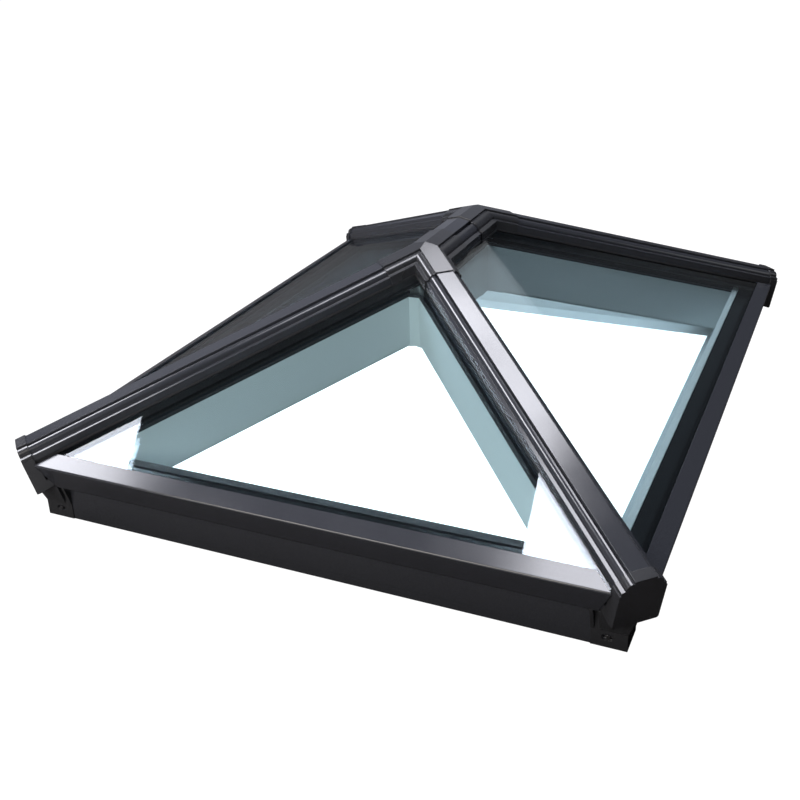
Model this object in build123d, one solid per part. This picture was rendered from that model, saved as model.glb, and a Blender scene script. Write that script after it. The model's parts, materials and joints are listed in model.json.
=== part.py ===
from build123d import *
import os
from math import atan, cos, radians, sin, sqrt, tan

# Overall sizes, in millimetres and degrees
ring_width = 1000.0  # over the ring beam, across the ridge
ridge_length = 250.0  # between the two points where the hips meet
roof_pitch = 25.0
glass_rise = 128.3  # outer glass face above the ring's underside, at the ring's outer face

# Sealed glass units
outer_pane = 6.0
inner_pane = 6.0
cavity = 16.0
edge_seal = 14.0  # width of the black spacer and sealant
glass_gap = 15.0  # glass edge to a hip's centre plane, in the glass
corner_snip = 17.0  # how far past the ring's corner the glass may reach
edge_nib = 3.0  # lip of the beam that stops the glass sliding
edge_block = 3.0  # setting block between the lip and the glass
inner_rubber = 3.0  # bedding strip under the glass

# Eaves caps, measured in the slope from the cap's nose
eaves_reach = 37.0  # nose outside the ring's face
cap_wall = 2.0
cap_rubber = 1.5
cap_top_leg = 31.0
cap_front_leg = 53.0
cap_lip = 4.0
nose_radius = 3.0
cap_end_play = 1.0  # between a cut end and the end cap's cheek

# Ring beam
beam_depth = 30.0
beam_wall = 2.5
beam_face = 56.0  # height of the plain outer face
beam_head_foot = 6.0
nib_height = 22.0
head_end_gap = 42.0
room_foot = (85.6, 0.0)  # inner trim: depth from the ring's face, and height
room_knee = (71.8, 14.5)
room_head = (40.0, 80.0)
room_sheet = 2.4

# Corner covers with their slotted holes
cover_leg = 51.0
cover_wall = 1.6
slot_length = 17.0
slot_width = 9.0
slot_inset = 27.0  # slot's centre from the corner
slot_height = 16.5
corbel_foot = 22.0  # height where the leg starts to slope out
corbel_leg = 38.0  # length of the sloping block from the corner
fin_width = 5.0  # of the second, narrow block at the leg's end
screw_size = 4.0
screw_head = 6.5
screw_head_height = 1.2
screw_length = 12.0
screw_shift = 1.0  # from the slot's middle towards the corner
screw_slot_length = 14.0  # in the beam's wall, for adjustment
screw_slot_width = 5.0
cleat_wall = 4.0
cleat_leg = 60.0
cleat_height = 40.0

# Hip and ridge caps, in the section square to the hip
cap_rise = 22.4  # flat top over the line where the glass faces meet
cap_quirk = [(15.5, 0.0), (15.5, -7.5), (18.6, -7.5), (18.6, -3.7)]  # across, and down from the flat top
cap_ovolo = [(21.0, -4.5), (27.2, -13.5)]
cap_ledge = [(27.2, -14.7), (32.4, -16.3)]
ovolo_bulge = 0.15  # of the ovolo's chord
side_rubber = 4.0  # height of the outer rubber on the glass
side_rubber_width = 5.0
clip_depth = 4.0  # how far the cap's fins reach down past the web's tip

# Boss caps and end caps, which cover the ends of the hip and ridge caps
hood_rise = 2.0  # flat top over the cap's flat top
hood_quirk = [(17.0, 0.0), (17.0, -4.2), (19.8, -4.2), (19.8, -3.4)]
hood_ovolo = [(22.6, -4.3), (28.8, -13.1)]
hood_ledge = [(28.8, -14.3), (34.4, -16.1)]
fit = 0.3
boss_hip_reach = 84.0
boss_ridge_reach = 82.0
hood_overlap = 20.0
end_tip = 36.2  # flat top's end beyond the ring's corner, in plan along the hip
end_joint = 12.5  # where the hood starts, past the ring's corner down the hip
end_plate = 3.0
end_foot = (16.0, 58.0)  # end plate's lower edge: beyond the ring's corner, and height
end_heel = (-30.0, 78.0)  # inner end of the cheeks' lower edge
end_round = 4.0
cheek_width = 36.4  # outer face of a cheek to the hip's centre plane
cheek_top = 3.0  # over the line where the glass faces meet

# Rafters and ridge beam
web = 7.0
web_tip = 6.0
rafter_width = 44.0
rafter_depth = 100.0
rafter_wall = 2.5
hub_hip_reach = 40.0
hub_ridge_reach = 34.0
tongue_length = 45.0
bolt_size = 8.0
bolt_head_width = 13.0
bolt_head_height = 5.0
bolt_drop = 68.0

# Inner trims of hips, ridge and bosses
trim_play = 0.9  # between the ridge beam's sides and the trims
trim_depth = 141.5  # below the line where the outer glass faces meet
trim_wall = 2.0
trim_round = 6.0
trim_rib = 2.0
trim_rib_drops = (56.0, 88.0)
trim_rubber_width = 5.0
post_reach = 48.0  # boss trim's arms, in plan

# Rubbers under the glass and blocks at its lower edge
ledge_strip = (12.0, 22.0)  # up the slope from the cap's nose
ledge_cap_strip = (22.0, 29.0)
rafter_strip = (12.0, 20.0)  # across the hip
block_length = 80.0

# What follows from them
pitch = radians(roof_pitch)
hip_slope = atan(tan(pitch) / sqrt(2))
half_width = ring_width / 2
half_ridge = ridge_length / 2
half_length = half_width + half_ridge
ridge_rise = glass_rise + half_width * tan(pitch)
unit_depth = outer_pane + cavity + inner_pane
bed_depth = unit_depth + inner_rubber
cap_stand = cap_wall + cap_rubber
glass_edge = cap_wall + fit + edge_nib + edge_block
cap_end_gap = cheek_width + cap_end_play
trim_width = rafter_width * sqrt(2) + 2 * (trim_wall + trim_play)
far = 2 * half_length
hip_run = half_width * sqrt(2) / cos(hip_slope)  # apex to the ring's corner, along the hip
cover_shoulder = head_end_gap * sqrt(2) - cover_wall - fit  # leg's width beside the beam's head
trim_bottom = -trim_depth * cos(hip_slope)
ridge_trim_foot = ridge_rise - trim_depth - trim_width / 2 * (sqrt(2) - 1) * tan(hip_slope)

parts = {}


def add_sides(name, front, right):
    parts[name + "_front"] = front
    parts[name + "_back"] = mirror(front, about=Plane.XZ)
    parts[name + "_right"] = right
    parts[name + "_left"] = mirror(right, about=Plane.YZ)


def add_corners(name, piece):
    parts[name + "_front_right"] = piece
    parts[name + "_front_left"] = mirror(piece, about=Plane.YZ)
    back = mirror(piece, about=Plane.XZ)
    parts[name + "_back_right"] = back
    parts[name + "_back_left"] = mirror(back, about=Plane.YZ)


def add_ends(name, piece):
    parts[name + "_front"] = piece
    parts[name + "_back"] = mirror(piece, about=Plane.XZ)


def all_ways(piece):
    """A piece of the front right quarter and its three mirror images."""
    pair = [piece, mirror(piece, about=Plane.YZ)]
    return pair + [mirror(each, about=Plane.XZ) for each in pair]


def outline(*points):
    return make_face(Polyline(*points, close=True))


def block(x, y, z):
    """A box between two limits along each axis."""
    size = [high - low for low, high in (x, y, z)]
    centre = [(low + high) / 2 for low, high in (x, y, z)]
    return Pos(*centre) * Box(*size)


def mirrored(half):
    return half + mirror(half, about=Plane.YZ)


# The parts of the plan that belong to each side
def sector(side, gap=0.0):
    """The plan between a side's two hips, less a gap beside each hip's centre plane."""
    shift = gap * sqrt(2)
    if side == "front":
        tip = -half_ridge - shift
        plan = outline((0, tip), (-far, tip - far), (far, tip - far))
    else:
        tip = half_ridge - shift
        plan = outline((0, -tip), (far, -tip - far), (far, tip + far), (0, tip))
    return extrude(plan, amount=far, both=True)


def hip_stretch(start, end):
    """The plan between two distances from the boss, measured along the front right hip."""
    return Pos(0, -half_ridge, 0) * Rot(0, 0, -45) * block((start, end), (-far, far), (-far, far))


def within_ring(inset=0.0):
    """The plan inside the ring beam's inner faces, or an inset inside them."""
    x, y = [half - beam_depth - inset for half in (half_width, half_length)]
    return block((-x, x), (-y, y), (-far, far))


def within_corners():
    """The plan cut off square to each hip, a little past the ring's corners."""
    x = half_width + eaves_reach
    y = half_length + eaves_reach
    cut = 2 * eaves_reach - corner_snip * sqrt(2)
    quarter = [(0, 0), (0, -y), (x - cut, -y), (x, cut - y), (x, 0)]
    solid = extrude(outline(*quarter), amount=far, both=True)
    return Part() + all_ways(solid)


# Sections along the eaves: x outward from the ring's face, y up
def slope_point(along, above):
    """A point given from the cap's nose, up the slope and square to it."""
    nose_height = glass_rise - eaves_reach * tan(pitch) + cap_stand / cos(pitch)
    out = eaves_reach - along * cos(pitch) + above * sin(pitch)
    return (out, nose_height + along * sin(pitch) + above * cos(pitch))


def bed_point(depth):
    """The point of the glass bed, under the bedding strip, at a depth inside the ring's face."""
    return (-depth, glass_rise + depth * tan(pitch) - bed_depth / cos(pitch))


def slope_rect(along, above):
    corners = [(along[0], above[0]), (along[1], above[0]), (along[1], above[1]), (along[0], above[1])]
    return outline(*[slope_point(*corner) for corner in corners])


def eaves_cap_section():
    legs = outline(*[slope_point(*point) for point in [
        (0, 0), (cap_top_leg, 0), (cap_top_leg, -cap_wall), (cap_wall, -cap_wall),
        (cap_wall, -cap_front_leg + cap_wall), (cap_wall + cap_lip, -cap_front_leg + cap_wall),
        (cap_wall + cap_lip, -cap_front_leg), (0, -cap_front_leg)]])
    nose = Vector(*slope_point(0, 0))
    return fillet(legs.vertices().sort_by(lambda corner: (Vector(corner) - nose).length)[0], nose_radius)


def beam_outline():
    head = cap_front_leg - cap_wall - fit
    front = cap_wall + fit
    bed = -cap_stand - bed_depth
    return outline((0, 0), (0, beam_face), slope_point(front + beam_head_foot, -head),
                   slope_point(front, -head), slope_point(front, bed), bed_point(beam_depth),
                   (-beam_depth, 0))


def beam_section():
    whole = beam_outline()
    chamber = offset(whole, -beam_wall, kind=Kind.INTERSECTION)
    shelf = Pos(-beam_depth / 2, beam_face - beam_wall / 2) * Rectangle(beam_depth, beam_wall)
    front = cap_wall + fit
    bed = -cap_stand - bed_depth
    nib = slope_rect((front, front + edge_nib), (bed - beam_wall, bed + nib_height))
    return whole - chamber + (shelf & whole) + nib


def room_outline():
    """Insulation and inner trim together, from the beam to the room's face."""
    foot, knee, head = [(-depth, height) for depth, height in (room_foot, room_knee, room_head)]
    return outline((-beam_depth, 0), foot, knee, head, bed_point(room_head[0]), bed_point(beam_depth))


def eaves_band(low, high):
    """The strip between two distances above the outer glass face."""
    nose = eaves_reach / cos(pitch) - cap_stand * tan(pitch)
    return slope_rect((nose - far, nose + far), (low - cap_stand, high - cap_stand))


def eaves_plane(side):
    if side == "front":
        return Plane(origin=(0, -half_length, 0), x_dir=(0, -1, 0), z_dir=(-1, 0, 0))
    return Plane(origin=(half_width, 0, 0), x_dir=(1, 0, 0), z_dir=(0, -1, 0))


def eaves_bar(section, side, gap=0.0):
    return extrude(eaves_plane(side) * section, amount=far, both=True) & sector(side, gap)


# Sections square to a hip: x across, y up from the line where the outer glass faces meet
fall = sin(hip_slope)


def glass_line(across, above, slope=fall):
    """Height, in the section, of a line parallel to the glass at a distance above it."""
    return above / cos(atan(slope)) - abs(across) * slope


def roof_band(low, high, slope=fall):
    """The chevron between two distances above the outer glass face."""
    under = [(across, glass_line(across, low, slope)) for across in (-far, 0, far)]
    over = [(across, glass_line(across, high, slope)) for across in (far, 0, -far)]
    return outline(*under, *over)


def span(across, up):
    """A rectangle from limits across the section and limits up it."""
    return Pos(sum(across) / 2, sum(up) / 2) * Rectangle(across[1] - across[0], up[1] - up[0])


def span_pair(across):
    """Tall strips between two limits across the section, one a side."""
    return mirrored(span(across, (-far, far)))


def ovolo(start, end):
    chord = end - start
    crown = (start + end) / 2 + Vector(-chord.Y, chord.X) * ovolo_bulge
    return ThreePointArc(start, crown, end)


def moulded_block(quirk, swell, ledge, top, base):
    """A flat top, a quirk, an ovolo and a sloping ledge a side, with straight sides down to a base."""
    quirk, swell, ledge = [[Vector(across, top + up) for across, up in points]
                           for points in (quirk, swell, ledge)]
    edges = [Polyline((0, base), (0, top), *quirk, swell[0]), ovolo(*swell),
             Polyline(swell[1], *ledge, (ledge[-1].X, base), (0, base))]
    return mirrored(make_face(edges))


def cap_block():
    return moulded_block(cap_quirk, cap_ovolo, cap_ledge, cap_rise, -rafter_depth)


def hood_block():
    return moulded_block(hood_quirk, hood_ovolo, hood_ledge, cap_rise + hood_rise, -rafter_depth)


def cap_section():
    shell = cap_block() - offset(cap_block(), -cap_wall, kind=Kind.INTERSECTION)
    fin_low = web_tip - clip_depth
    fin = span((web / 2 + fit, web / 2 + fit + cap_wall), (fin_low, cap_rise - cap_wall / 2))
    return (shell & roof_band(side_rubber, far)) + mirrored(fin)


def hood_section():
    return (hood_block() - offset(cap_block(), fit, kind=Kind.INTERSECTION)) & roof_band(side_rubber, far)


def rafter_block():
    width = rafter_width / 2
    return span((-width, width), (-rafter_depth, 0)) & roof_band(-far, -bed_depth)


def rafter_chamber(clearance=0.0):
    return offset(rafter_block(), -rafter_wall - clearance, kind=Kind.INTERSECTION)


def rafter_web():
    return span((-web / 2, web / 2), (glass_line(0, -bed_depth) - rafter_wall, web_tip))


def rafter_section():
    return rafter_block() - rafter_chamber() + rafter_web()


def trim_section(width, bottom, band):
    """A deep channel round a bar, with ribs that grip the bar's sides."""
    outer = span((-width, width), (bottom, 0)) & band
    outer = fillet(outer.vertices().group_by(Axis.Y)[0], trim_round)
    inner = offset(outer, -trim_wall, kind=Kind.INTERSECTION) + span(
        (trim_wall - width, width - trim_wall), (bottom / 2, 0))
    return outer - inner


# Bars along the hips, drawn for the front right one
apex = Plane(origin=(0, -half_ridge, ridge_rise), x_dir=(1, 1, 0),
             z_dir=(cos(hip_slope), -cos(hip_slope), -sin(hip_slope) * sqrt(2)))
hip_quarter = block((0, far), (-far, -half_ridge), (-far, far))


def hip_bar(section, start, end):
    """A bar down the hip between two distances from the apex."""
    return extrude(apex.offset(start) * section, amount=end - start)


def ridge_bar(section, start, end):
    """A bar along the ridge with the section that a hip bar shows when cut square to the ridge."""
    cut = hip_bar(section, -far / 4, far / 4) & hip_quarter
    faces = cut.faces().filter_by(Axis.Y).group_by(Axis.Y)[-1]
    place = Pos(0, start + half_ridge, 0)
    half = [extrude(place * face, amount=end - start, dir=(0, 1, 0)) for face in faces]
    return mirrored(Part() + half)


def tripod(section, hip_reach, ridge_reach, upright=far):
    """Two hip arms and a ridge arm of one section, mitred where they meet.

    The hip arms end square to the hip, or upright at a distance in plan.
    """
    arm = hip_bar(section, -far / 4, hip_reach) & hip_quarter & hip_stretch(-far, upright)
    return mirrored(arm) + ridge_bar(section, -half_ridge, ridge_reach - half_ridge)


# Glass units, drawn in the plane of the outer face
hip_angle = atan(1 / cos(pitch))  # between a hip and the eaves, in the glass


def unit_plane(side):
    if side == "front":
        return Plane((0, -half_length, glass_rise), x_dir=(1, 0, 0), z_dir=(0, -sin(pitch), cos(pitch)))
    return Plane((half_width, 0, glass_rise), x_dir=(0, 1, 0), z_dir=(sin(pitch), 0, cos(pitch)))


def unit_outline(side, inset=0.0):
    """A unit's outline, x along the eaves and y up the slope from above the ring's face."""
    edge = (glass_gap + inset) / sin(hip_angle)
    low = glass_edge + inset - eaves_reach / cos(pitch) + cap_stand * tan(pitch)
    if side == "front":
        spread = half_width - edge
        top = spread / cos(pitch)
        return outline((low * cos(pitch) - spread, low), (spread - low * cos(pitch), low), (0, top))
    spread = half_length - edge
    top = half_width / cos(pitch) - glass_gap * sqrt(2) - inset
    wide = spread - low * cos(pitch)
    narrow = spread - top * cos(pitch)
    return outline((-wide, low), (wide, low), (narrow, top), (-narrow, top))


def unit_layer(side, face, depth, thickness):
    layer = extrude(unit_plane(side).offset(-depth - thickness) * face, amount=thickness)
    return layer & within_corners()


def seal_outline(side):
    return unit_outline(side) - unit_outline(side, edge_seal)


def make_glass():
    for name, shape, depth, thickness in (
            ("glass_outer", unit_outline, 0, outer_pane),
            ("edge_seal", seal_outline, outer_pane, cavity),
            ("glass_inner", unit_outline, outer_pane + cavity, inner_pane)):
        add_sides(name, *[unit_layer(side, shape(side), depth, thickness) for side in ("front", "right")])


# Ring beam, its insulation, trims and caps
def make_beam(side):
    section = beam_section()
    body = eaves_bar(section & span((-far, 0), (-far, far)), side)
    head = eaves_bar(section & span((0, far), (-far, far)), side, head_end_gap)
    return body + head - all_ways(at_slot(screw_slot_length, screw_slot_width, -beam_wall))


def room_parts(side):
    """The insulation block and the trim over it, both notched round the rafters' feet."""
    whole = room_outline()
    core = (Pos(room_sheet, -room_sheet) * whole) & whole
    core += Pos(room_sheet, 0) * whole & whole & span((-far, 0), (-far, room_knee[1]))
    notch = offset(rafter_block(), fit, kind=Kind.INTERSECTION)
    bar = hip_bar(notch, hip_run / 2, hip_run)
    bars = all_ways(bar)
    return eaves_bar(core, side) - bars, eaves_bar(whole - core, side) - bars


def make_ring():
    add_sides("eaves_beam", make_beam("front"), make_beam("right"))
    front, right = room_parts("front"), room_parts("right")
    add_sides("eaves_insulation", front[0], right[0])
    add_sides("eaves_trim", front[1], right[1])
    cap = eaves_cap_section()
    add_sides("eaves_cap", *[eaves_bar(cap, side, cap_end_gap) for side in ("front", "right")])


def both_legs(piece):
    """A piece on a corner's front leg, and its mirror image on the other leg."""
    return [piece, mirror(piece, about=Plane(origin=(half_width, -half_length, 0), z_dir=(1, 1, 0)))]


def at_slot(length, width, depth):
    """Slots of a depth at both legs of the front right corner, drawn on the ring's faces."""
    centre = (half_width - slot_inset, -half_length, slot_height)
    face = Plane(origin=centre, x_dir=(1, 0, 0), z_dir=(0, -1, 0))
    return Part() + both_legs(extrude(face * SlotOverall(length, width), amount=depth))


def cover_leg_plate():
    """The front leg of the front right corner cover, with its sloping block and the fin beside it."""
    face = Plane(origin=(half_width, -half_length, 0), x_dir=(1, 0, 0), z_dir=(0, -1, 0))
    top = bed_point(0)[1] - beam_wall
    low = Pos(-cover_leg / 2, beam_face / 2) * Rectangle(cover_leg, beam_face)
    high = Pos(-cover_shoulder / 2, (beam_face + top) / 2) * Rectangle(cover_shoulder, top - beam_face)
    under = -cap_front_leg - fit
    lip, heel = slope_point(0, under), slope_point(cap_wall + cap_lip, under)
    slope = eaves_bar(outline((0, corbel_foot), lip, heel, (0, heel[1])), "front")
    corbel = slope & block((half_width - corbel_leg, far), (-far, far), (0, far))
    leg_end = half_width - cover_leg
    fin = slope & block((leg_end, leg_end + fin_width), (-far, far), (0, far))
    end = beam_outline() & span((0, far), (-far, far))
    closer = eaves_bar(end, "front", head_end_gap - fit - cover_wall)
    closer -= eaves_bar(end, "front", head_end_gap - fit)
    closer &= block((0, half_width), (-far, 0), (0, far))
    return extrude(face * (low + high), amount=cover_wall) + fin + closer + (corbel - end_cap_room())


def make_cover():
    corner = Pos(half_width + cover_wall / 2, -half_length - cover_wall / 2, 0)
    post = corner * extrude(Rectangle(cover_wall, cover_wall), amount=bed_point(0)[1] - beam_wall)
    return post + both_legs(cover_leg_plate()) - at_slot(slot_length, slot_width, cover_wall)


def corner_screw(clearance=0.0):
    """The screws in the slots of the front right corner, or the holes for them."""
    x = half_width - slot_inset + screw_shift
    face = Plane(origin=(x, -half_length, slot_height), x_dir=(1, 0, 0), z_dir=(0, -1, 0))
    shank = extrude(face * Circle(screw_size / 2 + clearance), amount=-screw_length)
    if clearance:
        return both_legs(shank)
    return both_legs(shank + extrude(face * Circle(screw_head / 2), amount=screw_head_height))


def corner_cleat():
    """The angle inside the beams at the front right corner, which the corner's screws hold."""
    inset = beam_wall + fit
    x, y = half_width - inset, -half_length + inset
    leg = block((x - cleat_leg, x), (y, y + cleat_wall), (inset, inset + cleat_height))
    return Part() + both_legs(leg) - corner_screw(fit)


# Hips, ridge and bosses
def make_rafter():
    bar = hip_bar(rafter_section(), 0, hip_run) & hip_stretch(hub_hip_reach, far) & within_ring()
    return bar - cross_bolt(fit)


def cross_bolt(clearance=0.0):
    """A bolt with its head and nut, through a rafter and the hub's tongue in it, or the hole for it."""
    reach = hub_hip_reach + tongue_length / 2 + bolt_drop * sin(hip_slope)
    across = Plane(origin=(0, -bolt_drop, 0), x_dir=(0, 0, 1), z_dir=(1, 0, 0))
    axis = apex.offset(reach / cos(hip_slope)) * across
    shank = extrude(axis * Circle(bolt_size / 2 + clearance), amount=rafter_width / 2, both=True)
    if clearance:
        return shank
    head = RegularPolygon(bolt_head_width / 2, 6, major_radius=False)
    for side in (1, -1):
        shank += extrude(axis * Pos(0, 0, side * rafter_width / 2) * head, amount=side * bolt_head_height)
    return shank


def make_hub():
    body = tripod(rafter_block() + rafter_web(), far / 4, hub_ridge_reach, hub_hip_reach)
    tongue = rafter_chamber(fit)
    arm = hip_bar(tongue, 0, hip_run) & hip_stretch(hub_hip_reach, hub_hip_reach + tongue_length)
    arm -= cross_bolt(fit)
    start = hub_ridge_reach - half_ridge
    stub = ridge_bar(tongue, start, start + tongue_length)
    return body + [arm, mirror(arm, about=Plane.YZ), stub]


def hip_height(beyond, above):
    """Height of a point beyond the ring's corner, above the line where the glass faces meet."""
    return glass_rise - beyond * tan(hip_slope) + above / cos(hip_slope)


def beside_hip(*points):
    """A prism across the hip: x beyond the ring's corner in plan, y up."""
    side = Plane(origin=(half_width, -half_length, 0), x_dir=(1, -1, 0), z_dir=(-1, -1, 0))
    return extrude(side * outline(*points), amount=far, both=True)


def below_cheeks(height, clearance=0.0):
    """The line of the cheeks' lower edge, lengthened inward and outward to the given height range."""
    run = (end_foot[0] - end_heel[0]) / (end_heel[1] - end_foot[1])
    return [(end_foot[0] + (end_foot[1] - level) * run, level - clearance) for level in height]


def end_cap_room():
    """All that lies over the cheeks' lower edge and between their outer faces, with a clearance."""
    low, high = below_cheeks((0, 2 * end_heel[1]), fit)
    over = beside_hip(low, high, (high[0], far), (low[0], far))
    reach = cheek_width + fit
    return over & hip_bar(span((-reach, reach), (-far, far)), 0, far)


def end_cap_shape(section, wall):
    """A hip section cut by the leaning end plate's face, moved in by a wall."""
    tip_height = hip_height(end_tip, cap_rise + hood_rise)
    lean = (end_tip - end_foot[0]) / (tip_height - end_foot[1])
    low, high = [(end_foot[0] - wall + (level - end_foot[1]) * lean, level) for level in (0, 2 * tip_height)]
    return hip_bar(section, 0, far) & beside_hip(low, high, (-far, high[1]), (-far, 0))


def make_end_cap():
    """A moulded hood with a leaning end plate, and cheeks that close the ends of the eaves caps."""
    start = hip_run + end_joint
    cheeks = span((-cheek_width, cheek_width), (-far, cheek_top))
    inner = cheek_width - end_plate
    between = span((-inner, inner), (-far, cheek_top - end_plate))
    between += offset(cap_block(), fit, kind=Kind.INTERSECTION)
    hood = end_cap_shape(hood_block() + cheeks, 0) - end_cap_shape(between, end_plate)
    low, high = below_cheeks((end_foot[1], end_heel[1]))
    hood &= beside_hip(low, high, (high[0], far), (far, far), (far, low[1]))
    front = Plane(origin=(half_width, -half_length, 0), x_dir=(1, 1, 0), z_dir=(1, -1, 0))
    plate = span((-cheek_width, cheek_width), (end_foot[1], far))
    plate = fillet(plate.vertices().group_by(Axis.Y)[0], end_round)
    hood &= extrude(front * plate, amount=far, both=True)
    glass_room = hip_bar(roof_band(-bed_depth - fit, far), 0, start)
    return hood - glass_room


def make_hip_trim():
    width = trim_width / 2
    section = trim_section(width, trim_bottom, roof_band(-far, -bed_depth))
    beam_side = rafter_width / 2 + fit
    ribs = [span((beam_side, width - trim_wall / 2), (-drop, -drop + trim_rib)) for drop in trim_rib_drops]
    section += mirrored(Sketch() + ribs)
    bar = hip_bar(section, 0, hip_run) & hip_stretch(post_reach, far) & within_ring()
    return bar - [eaves_bar(room_outline(), side) for side in ("front", "right")]


def post_quarter(lining, floor=0.0):
    """Half of a boss trim's solid outside, or of its inside when a lining is taken off the walls."""
    half = trim_width / 2 - lining
    front = (post_reach + trim_width / 2) / sqrt(2) - lining
    arm = 2 * post_reach
    near, out = (arm - half) / sqrt(2), (arm + half) / sqrt(2)
    meet = half * (sqrt(2) - 1)
    hip = outline((0, -front), (front - half * sqrt(2), -front), (near, -out), (out, -near),
                  (half, meet), (0, meet - half))
    ridge = outline((0, meet - half), (half, meet), (half, arm), (0, arm))
    roof = roof_band(-far, -bed_depth)
    channel = hip_bar(roof & span((-far, far), (trim_bottom + floor, far)), -far / 4, far / 4)
    level = hip_bar(roof, -far / 4, far / 4) & block((-far, far), (-far, far), (ridge_trim_foot + floor, far))
    at_boss = Pos(0, -half_ridge, 0)
    hip_part = at_boss * extrude(hip, amount=far) & channel & hip_stretch(-far, post_reach)
    ridge_part = at_boss * extrude(ridge, amount=far) & level
    return hip_part + (ridge_part & block((-far, far), (-far, post_reach - half_ridge), (-far, far)))


def make_boss_trim():
    half = post_quarter(0) - post_quarter(trim_wall, trim_wall)
    return mirrored(half)


def make_ridge_trim():
    plane = Plane(origin=(0, 0, ridge_rise), x_dir=(1, 0, 0), z_dir=(0, -1, 0))
    width = trim_width / 2
    band = roof_band(-far, -bed_depth, slope=tan(pitch))
    section = trim_section(width, ridge_trim_foot - ridge_rise, band)
    beam_side = rafter_width / sqrt(2) + fit
    ribs = [span((beam_side, width - trim_wall / 2), (-drop, -drop + trim_rib)) for drop in trim_rib_drops]
    section += mirrored(Sketch() + ribs)
    return extrude(plane * section, amount=half_ridge - post_reach, both=True)


# Rubbers, setting blocks and screws
def both_ends(shapes):
    return list(shapes) + [mirror(shape, about=Plane.XZ) for shape in shapes]


def make_gaskets():
    bed = roof_band(-bed_depth, -unit_depth)
    pieces = both_ends([tripod(bed & span_pair(rafter_strip), hip_run, half_ridge) & within_ring()])
    seal = span_pair((trim_width / 2 - trim_rubber_width, trim_width / 2))
    room = room_head[0] - beam_depth
    hips = hip_bar(bed & seal, 0, hip_run) & hip_stretch(post_reach, far) & within_ring(room)
    pieces += all_ways(hips)
    post = post_quarter(0) - post_quarter(trim_rubber_width)
    lift = Pos(0, 0, inner_rubber / cos(pitch))
    pieces += both_ends([mirrored((lift * post) - post)])
    ridge = roof_band(-bed_depth, -unit_depth, slope=tan(pitch)) & seal
    plane = Plane(origin=(0, 0, ridge_rise), x_dir=(1, 0, 0), z_dir=(0, -1, 0))
    pieces.append(extrude(plane * ridge, amount=half_ridge - post_reach, both=True))
    clear = rafter_strip[0]
    for side in ("front", "right"):
        ledge = slope_rect(ledge_strip, (-cap_stand - bed_depth, -cap_stand - unit_depth))
        under_cap = slope_rect(ledge_cap_strip, (-cap_stand, -cap_wall))
        head = eaves_band(-bed_depth, -unit_depth) & span((-room_head[0], -beam_depth), (-far, far))
        bars = [eaves_bar(ledge, side, clear), eaves_bar(head, side, clear),
                eaves_bar(under_cap, side, cap_end_gap)]
        other = Plane.XZ if side == "front" else Plane.YZ
        pieces += bars + [mirror(bar, about=other) for bar in bars]
    edge = cap_ledge[-1][0]
    rubber = roof_band(0, side_rubber)
    beside_caps = rubber & span_pair((edge - side_rubber_width, edge))
    pieces += both_ends([tripod(beside_caps, 2 * hip_run, half_ridge) & within_corners()])
    hood = span_pair((edge + fit, hood_ledge[-1][0]))
    pieces += both_ends([tripod(rubber & hood, boss_hip_reach, boss_ridge_reach)])
    return Part() + pieces


def make_setting_blocks():
    front = cap_wall + fit + edge_nib
    section = slope_rect((front, front + edge_block), (-cap_stand - unit_depth, -cap_stand - outer_pane / 2))
    pieces = []
    for side, half in (("front", half_width), ("right", half_length)):
        bar = extrude(eaves_plane(side) * section, amount=block_length / 2, both=True)
        step = Vector(half / 2, 0, 0) if side == "front" else Vector(0, half / 2, 0)
        pair = [Pos(*step) * bar, Pos(*-step) * bar]
        other = Plane.XZ if side == "front" else Plane.YZ
        pieces += pair + [mirror(each, about=other) for each in pair]
    return Part() + pieces


def make_fixings():
    corner = corner_screw() + [corner_cleat()]
    return Part() + all_ways(cross_bolt()) + [piece for each in corner for piece in all_ways(each)]


make_ring()
make_glass()
hip_cap_end = hip_run + end_tip / cos(hip_slope) - cap_rise * tan(hip_slope) - 2 * end_plate
add_corners("corner_cover", make_cover())
add_corners("rafter", make_rafter())
add_corners("hip_cap", hip_bar(cap_section(), boss_hip_reach - hood_overlap, hip_cap_end))
add_corners("end_cap", make_end_cap())
add_corners("hip_trim", make_hip_trim())
add_ends("boss_hub", make_hub())
add_ends("boss_cap", tripod(hood_section(), boss_hip_reach, boss_ridge_reach))
add_ends("boss_trim", make_boss_trim())
ridge_cap_end = half_ridge - boss_ridge_reach + hood_overlap
parts["ridge_cap"] = ridge_bar(cap_section(), -ridge_cap_end, ridge_cap_end)
ridge_beam_end = half_ridge - hub_ridge_reach
parts["ridge_beam"] = ridge_bar(rafter_section(), -ridge_beam_end, ridge_beam_end)
parts["ridge_trim"] = make_ridge_trim()
parts["glazing_rubbers"] = make_gaskets()
parts["setting_blocks"] = make_setting_blocks()
parts["fixings"] = make_fixings()

os.makedirs("parts", exist_ok=True)
for name, shape in parts.items():
    export_step(shape, f"parts/{name}.step")
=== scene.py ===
import json
from math import cos, radians, sin

import bpy
from mathutils import Matrix, Vector


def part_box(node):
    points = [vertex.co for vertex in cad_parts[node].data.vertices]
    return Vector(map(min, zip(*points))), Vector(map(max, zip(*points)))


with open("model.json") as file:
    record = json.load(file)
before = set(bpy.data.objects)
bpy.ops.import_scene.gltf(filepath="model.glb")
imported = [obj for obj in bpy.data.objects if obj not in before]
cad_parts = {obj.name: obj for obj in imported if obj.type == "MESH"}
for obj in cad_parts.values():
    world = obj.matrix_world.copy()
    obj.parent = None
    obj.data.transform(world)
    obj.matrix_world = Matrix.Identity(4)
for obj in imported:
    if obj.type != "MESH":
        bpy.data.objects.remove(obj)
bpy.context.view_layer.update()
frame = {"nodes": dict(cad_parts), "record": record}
nodes = frame["nodes"]
scene = bpy.context.scene

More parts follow.
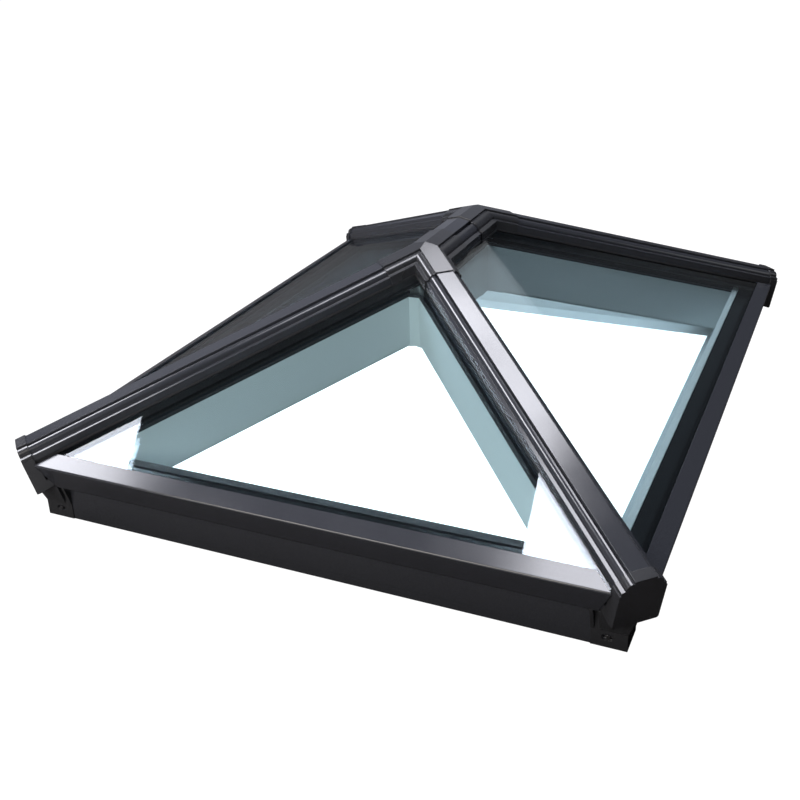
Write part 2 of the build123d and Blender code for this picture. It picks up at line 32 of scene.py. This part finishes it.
# Camera, fitted to the photograph
CAMERA_AT = Vector((0.7365, -1.8469, 0.9845))
AZIMUTH, ELEVATION, ROLL = radians(24.591), radians(23.231), radians(-1.936)
FOCAL_LENGTH, SENSOR_WIDTH = 49.06, 36.0
SHIFT = (-0.0034, -0.0651)

# Ring beam, whose outer faces most places are measured from
RING_WIDTH = 2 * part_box("eaves_beam_front")[1].x
RING_LENGTH = 2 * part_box("eaves_beam_right")[1].y
BEAM_DEPTH = 0.03
BED_HEIGHT = 0.07  # above it the ring beam carries the glass and is black
TRIM_STRIP = [RING_WIDTH / 2 - inward for inward in (0.0405, 0.0295)]  # pale strip on the side trims
TRIM_STRIP_TOP = 0.12

# Finishes: grains are noise scales, reliefs are in metres
EDGE_ROUND, EDGE_SAMPLES = 0.0007, 6
MIDDLE = (0.3, 0.7)  # most of a noise's values lie between these
COAT_SPARKLE, COAT_PEEL, COAT_CLOUDS = 1500, 1200, 6
COAT_RELIEF, COAT_IOR = 0.000006, 1.54
RUBBER_MOTTLE, RUBBER_SHEEN, RUBBER_GRAIN, RUBBER_RELIEF = 40, 300, 1500, 0.00002
FOAM_CELLS, FOAM_RELIEF = 700, 0.0006
METAL_GRAIN, METAL_RELIEF = 400, 0.00004
PANE_WAVE, PANE_RELIEF, PANE_BLUR = 3, 0.00005, 0.012
GREY = ((0.020, 0.0215, 0.027), (0.029, 0.031, 0.037))
COVER_GREY = ((0.017, 0.018, 0.021), (0.025, 0.026, 0.029))
PALE_GREY = ((0.69, 0.72, 0.72), (0.75, 0.78, 0.78))
BED_BLACK = (0.004, 0.004, 0.005)
RUBBER_BLACK = ((0.007, 0.007, 0.009), (0.014, 0.014, 0.016))
STRIP_PALE = (0.6, 0.62, 0.61)
# foam's colour; its darker end is painted shade for the cells' hollows
FOAM_AND_HOLLOW_SHADE = ((0.32, 0.35, 0.3), (0.5, 0.53, 0.47))
GLASS_THROUGH, GLASS_SHINE = (0.93, 0.969, 0.98, 1), (0.92, 0.96, 1.0, 1)
HEAD_ON_MIRROR = 0.04  # share of light that glass mirrors when it is faced head on

# Studio: half sizes of the great planes, heights under the lantern, and looks
FAR = 60.0
BACKDROP_LEVELS = (-0.001, 40.0)
ROOM_LEVEL, FLOOR_LEVEL, CARD_LEVEL, DARK_LEVEL = -0.0004, -0.0008, -0.001, -0.002
CARD_X, CARD_Y = (-2.0, 1.6), (-2.4, -0.72)
WHITE, DARK, CARD_GREY = (0.02, 0.02, 0.02), (0.023, 0.0205, 0.0185), (0.2, 0.2, 0.2)
FLOOR_GLOW, ROOM_GLOW = 1.03, 2.8
WORLD_COLOR = (0.06, 0.062, 0.068, 1)
NEUTRAL, COOL, WARM, SKY = (1, 1, 1), (0.96, 0.965, 1.04), (1.0, 0.94, 0.87), (0.92, 0.95, 1.1)

# Each soft light: name, place, point that it faces, size, brightness of its face, colour
SOFTBOXES = [
    ("softbox_top", (0.1, 0.35, 3.0), (0.1, 0.35, 0.0), (1.0, 3.3), 10.2, COOL),
    ("softbox_left", (-3.33, -0.3, 3.0), (-3.33, -0.3, 0.0), (1.94, 2.6), 13.0, COOL),
    ("softbox_front", (-0.8, -2.7, 1.3), (0.0, 0.0, 0.2), (1.7, 1.4), 6.6, WARM),
    ("wall_back_left", (-3.6, 5.0, 2.0), (0.0, 0.0, 0.3), (7.0, 3.4), 0.2, SKY),
    ("softbox_back", (4.4, 1.6, 1.5), (0.0, 0.0, 0.2), (2.0, 1.4), 0.8, NEUTRAL),
    ("window_back", (0.4, 6.0, 3.9), (0.4, 0.0, 3.9), (1.8, 1.25), 0.35, NEUTRAL),
]


def make_camera():
    """The photograph's view: the camera looks back along its azimuth and elevation, and leans by its roll."""
    back = Vector((sin(AZIMUTH) * cos(ELEVATION), -cos(AZIMUTH) * cos(ELEVATION), sin(ELEVATION)))
    level = (-back).cross(Vector((0, 0, 1))).normalized()
    upright = level.cross(-back)
    right = level * cos(ROLL) + upright * sin(ROLL)
    up = upright * cos(ROLL) - level * sin(ROLL)
    data = bpy.data.cameras.new("camera")
    data.sensor_width = SENSOR_WIDTH
    data.lens = FOCAL_LENGTH
    data.shift_x, data.shift_y = SHIFT
    camera = bpy.data.objects.new("camera", data)
    turn = Matrix((right, up, back)).transposed()
    camera.matrix_world = Matrix.Translation(CAMERA_AT) @ turn.to_4x4()
    scene.collection.objects.link(camera)
    scene.camera = camera


# Shader maths as plain expressions
class Socket:
    """A node's output in a look. Arithmetic and comparisons on it add Math nodes."""

    def __init__(self, look, output):
        self.look, self.output = look, output

    def maths(self, operation, first, second):
        return self.look.node("ShaderNodeMath", {"operation": operation}, {0: first, 1: second})

    def __add__(self, other):
        return self.maths("ADD", self, other)

    def __mul__(self, other):
        return self.maths("MULTIPLY", self, other)

    def __pow__(self, other):
        return self.maths("POWER", self, other)

    def __lt__(self, other):
        return self.maths("LESS_THAN", self, other)

    def __gt__(self, other):
        return self.maths("GREATER_THAN", self, other)

    def __abs__(self):
        return self.maths("ABSOLUTE", self, 0.0)

    __radd__, __rmul__ = __add__, __mul__

    def between(self, low, high, start=0.0, end=1.0):
        """This value's place between low and high, turned smoothly into start to end."""
        sockets = {"Value": self, "From Min": low, "From Max": high, "To Min": start, "To Max": end}
        return self.look.node("ShaderNodeMapRange", {"interpolation_type": "SMOOTHSTEP"}, sockets)


class Look:
    """A material whose nodes are added one by one."""

    def __init__(self, name):
        self.material = bpy.data.materials.new(name)
        self.material.use_nodes = True
        self.tree = self.material.node_tree
        self.tree.nodes.clear()
        self.place = self.node("ShaderNodeTexCoord", output="Object")

    def node(self, kind, settings={}, sockets={}, output=0):
        """Adds a node, sets it and the values or links of its sockets, and gives one of its outputs."""
        node = self.tree.nodes.new(kind)
        for key, value in settings.items():
            setattr(node, key, value)
        for key, value in sockets.items():
            if isinstance(value, Socket):
                self.tree.links.new(value.output, node.inputs[key])
            else:
                node.inputs[key].default_value = value
        return Socket(self, node.outputs[output]) if node.outputs else None

    def finish(self, shader):
        self.node("ShaderNodeOutputMaterial", {}, {"Surface": shader})
        return self.material

    def surface(self, **sockets):
        """The material, finished with a Principled surface whose sockets are given by name."""
        named = {key.replace("_", " "): value for key, value in sockets.items()}
        return self.finish(self.node("ShaderNodeBsdfPrincipled", {}, named))

    def axes(self):
        """The place's x, y and z."""
        first = self.node("ShaderNodeSeparateXYZ", {}, {0: self.place})
        return [Socket(self, output) for output in first.output.node.outputs]

    def noise(self, scale, detail, stretch=(1, 1, 1)):
        where = self.node("ShaderNodeMapping", {}, {"Vector": self.place, "Scale": stretch})
        return self.node("ShaderNodeTexNoise", {}, {"Vector": where, "Scale": scale, "Detail": detail})

    def blend(self, amount, first, second):
        """From the first colour to the second by an amount; each is a colour or a socket."""
        first, second = [end if isinstance(end, Socket) else (*end, 1) for end in (first, second)]
        sockets = {"Factor": amount, 6: first, 7: second}
        return self.node("ShaderNodeMix", {"data_type": "RGBA"}, sockets, output=2)

    def bump(self, height, depth, edge_round=0.0):
        """A relief, on edges rounded by a radius where one is given."""
        sockets = {"Height": height, "Distance": depth}
        if edge_round:
            radius = {"Radius": edge_round}
            sockets["Normal"] = self.node("ShaderNodeBevel", {"samples": EDGE_SAMPLES}, radius)
        return self.node("ShaderNodeBump", {}, sockets)


def powder_coat(name, shades, roughness, bed=False):
    """Satin powder coat: a faint orange peel, a finer sparkle and slow changes of gloss. The bed is black."""
    look = Look(name)
    color = look.blend(look.noise(COAT_SPARKLE, 1).between(0.35, 0.7), *shades)
    if bed:
        color = look.blend(look.axes()[2] > BED_HEIGHT, color, BED_BLACK)
    gloss = look.noise(COAT_CLOUDS, 4).between(*MIDDLE, roughness - 0.03, roughness + 0.04)
    peel = look.bump(look.noise(COAT_PEEL, 2), COAT_RELIEF, EDGE_ROUND)
    return look.surface(Base_Color=color, Roughness=gloss, IOR=COAT_IOR, Normal=peel)


def on_trim_strip(look):
    """One on the strips that lie on the side trims under the glass, nought elsewhere."""
    x, _, z = look.axes()
    return (TRIM_STRIP[0] < abs(x)) * (abs(x) < TRIM_STRIP[1]) * (z < TRIM_STRIP_TOP)


def rubber(name, pale_strip=False):
    """Black rubber, pale on the strips on the side trims where it has them."""
    look = Look(name)
    color = look.blend(look.noise(RUBBER_MOTTLE, 3), *RUBBER_BLACK)
    if pale_strip:
        color = look.blend(on_trim_strip(look), color, STRIP_PALE)
    gloss = look.noise(RUBBER_SHEEN, 3).between(*MIDDLE, 0.5, 0.7)
    grain = look.bump(look.noise(RUBBER_GRAIN, 2), RUBBER_RELIEF)
    return look.surface(Base_Color=color, Roughness=gloss, Normal=grain)


def foam(name):
    """Coarse cells, with painted shade in their hollows."""
    look = Look(name)
    cells = look.noise(FOAM_CELLS, 3)
    # painted shade: the colour runs to its darker end where the cells' relief is low, in the hollows
    color = look.blend(cells.between(*MIDDLE), *FOAM_AND_HOLLOW_SHADE)
    return look.surface(Base_Color=color, Roughness=0.9, Normal=look.bump(cells, FOAM_RELIEF))


def bare_metal(name, color, roughness, stretch):
    """Uncoated metal, whose grain is drawn out by the stretch."""
    look = Look(name)
    grain = look.noise(METAL_GRAIN, 4, stretch)
    gloss = grain.between(*MIDDLE, roughness - 0.08, roughness + 0.12)
    relief = look.bump(grain, METAL_RELIEF, EDGE_ROUND)
    return look.surface(Base_Color=(*color, 1), Metallic=1.0, Roughness=gloss, Normal=relief)


def glass(name):
    """A pane's face: clear, faintly green, and brighter in reflection where it is seen edge on."""
    look = Look(name)
    facing = look.node("ShaderNodeLayerWeight", {}, {"Blend": 0.5}, output="Facing")
    through = look.node("ShaderNodeBsdfTransparent", {}, {"Color": GLASS_THROUGH})
    wave = look.bump(look.noise(PANE_WAVE, 1), PANE_RELIEF)
    sockets = {"Color": GLASS_SHINE, "Roughness": PANE_BLUR, "Normal": wave}
    shine = look.node("ShaderNodeBsdfGlossy", {}, sockets)
    mirror = HEAD_ON_MIRROR + (1 - HEAD_ON_MIRROR) * facing ** 5.0
    return look.finish(look.node("ShaderNodeMixShader", {}, {0: mirror, 1: through, 2: shine}))


def dress_nodes():
    """Every node takes the look of its material slot, and the ring beam the one with the black bed."""
    looks = {
        "frame": powder_coat("coat_frame", GREY, 0.17),
        "cover": powder_coat("coat_cover", COVER_GREY, 0.24),
        "trim": powder_coat("coat_trim", PALE_GREY, 0.42),
        "hub": bare_metal("cast_hub", (0.7, 0.71, 0.73), 0.45, (1, 1, 1)),
        "glass": glass("clear_glass"),
        "seal": rubber("edge_sealant"),
        "insulation": foam("insulation_foam"),
        "rubber": rubber("gasket_rubber", pale_strip=True),
        "block": rubber("setting_block"),
        "steel": bare_metal("dark_steel", (0.16, 0.16, 0.17), 0.3, (1, 1, 12)),
    }
    beam_look = powder_coat("coat_beam", GREY, 0.18, bed=True)
    slot_of = {entry["node"]: entry["material_slot"] for entry in frame["record"]["subparts"]}
    for name, node in nodes.items():
        look = beam_look if name.startswith("eaves_beam") else looks[slot_of[name]]
        for slot in node.material_slots:
            slot.material = look
        if not node.material_slots:
            node.data.materials.append(look)


# Studio
def stage_look(name, color, glow=0.0):
    """A matt ground with slow clouds, which may glow."""
    look = Look(name)
    cloud = look.blend(look.noise(0.7, 3), color, [channel * 1.06 for channel in color])
    return look.surface(Base_Color=cloud, Roughness=0.9, Emission_Color=(1, 1, 1, 1), Emission_Strength=glow)


def make_ground(name, corners, faces, material):
    """A piece of the stage, from its corners and faces."""
    mesh = bpy.data.meshes.new(name)
    mesh.from_pydata(corners, [], faces)
    mesh.materials.append(material)
    ground = bpy.data.objects.new(name, mesh)
    scene.collection.objects.link(ground)
    return ground


def make_plane(name, x, y, height, material):
    corners = [(x[0], y[0], height), (x[1], y[0], height), (x[1], y[1], height), (x[0], y[1], height)]
    return make_ground(name, corners, [(0, 1, 2, 3)], material)


def make_backdrop(material):
    """Walls and a ceiling around the floor, for views that look above its edge."""
    ring = [(-FAR, -FAR), (FAR, -FAR), (FAR, FAR), (-FAR, FAR)]
    corners = [(*corner, level) for level in BACKDROP_LEVELS for corner in ring]
    walls = [(side, (side + 1) % 4, (side + 1) % 4 + 4, side + 4) for side in range(4)]
    return make_ground("backdrop", corners, walls + [(4, 5, 6, 7)], material)


def make_grounds():
    """White ground and backdrop for the camera, and dark ground for reflections and soft light."""
    wide = (-FAR, FAR)
    room_x, room_y = [(BEAM_DEPTH - side / 2, side / 2 - BEAM_DEPTH) for side in (RING_WIDTH, RING_LENGTH)]
    for ground in [
        make_plane("floor", wide, wide, FLOOR_LEVEL, stage_look("white_floor", WHITE, FLOOR_GLOW)),
        make_plane("room_below", room_x, room_y, ROOM_LEVEL, stage_look("bright_room", WHITE, ROOM_GLOW)),
        make_backdrop(stage_look("white_wall", WHITE, FLOOR_GLOW)),
    ]:
        ground.visible_diffuse = ground.visible_glossy = ground.visible_shadow = False
    for ground in [
        make_plane("floor_dark", wide, wide, DARK_LEVEL, stage_look("dark_floor", DARK)),
        make_plane("floor_card", CARD_X, CARD_Y, CARD_LEVEL, stage_look("grey_card", CARD_GREY)),
    ]:
        ground.visible_camera = ground.visible_transmission = False


def softbox(name, at, to, size, radiance, color):
    """A rectangular light that shines evenly from its face."""
    data = bpy.data.lights.new(name, "AREA")
    data.shape = "RECTANGLE"
    data.size, data.size_y = size
    data.energy = 4 * radiance * size[0] * size[1]
    data.color = color
    light = bpy.data.objects.new(name, data)
    light.location = at
    light.rotation_euler = (Vector(to) - Vector(at)).to_track_quat("-Z", "Y").to_euler()
    light.visible_camera = False
    scene.collection.objects.link(light)


def make_studio():
    """The grounds, a dim world and the soft lights."""
    make_grounds()
    scene.world = bpy.data.worlds.new("studio")
    scene.world.use_nodes = True
    scene.world.node_tree.nodes["Background"].inputs["Color"].default_value = WORLD_COLOR
    for light in SOFTBOXES:
        softbox(*light)


scene.view_settings.view_transform = "Standard"
make_camera()
make_studio()
dress_nodes()
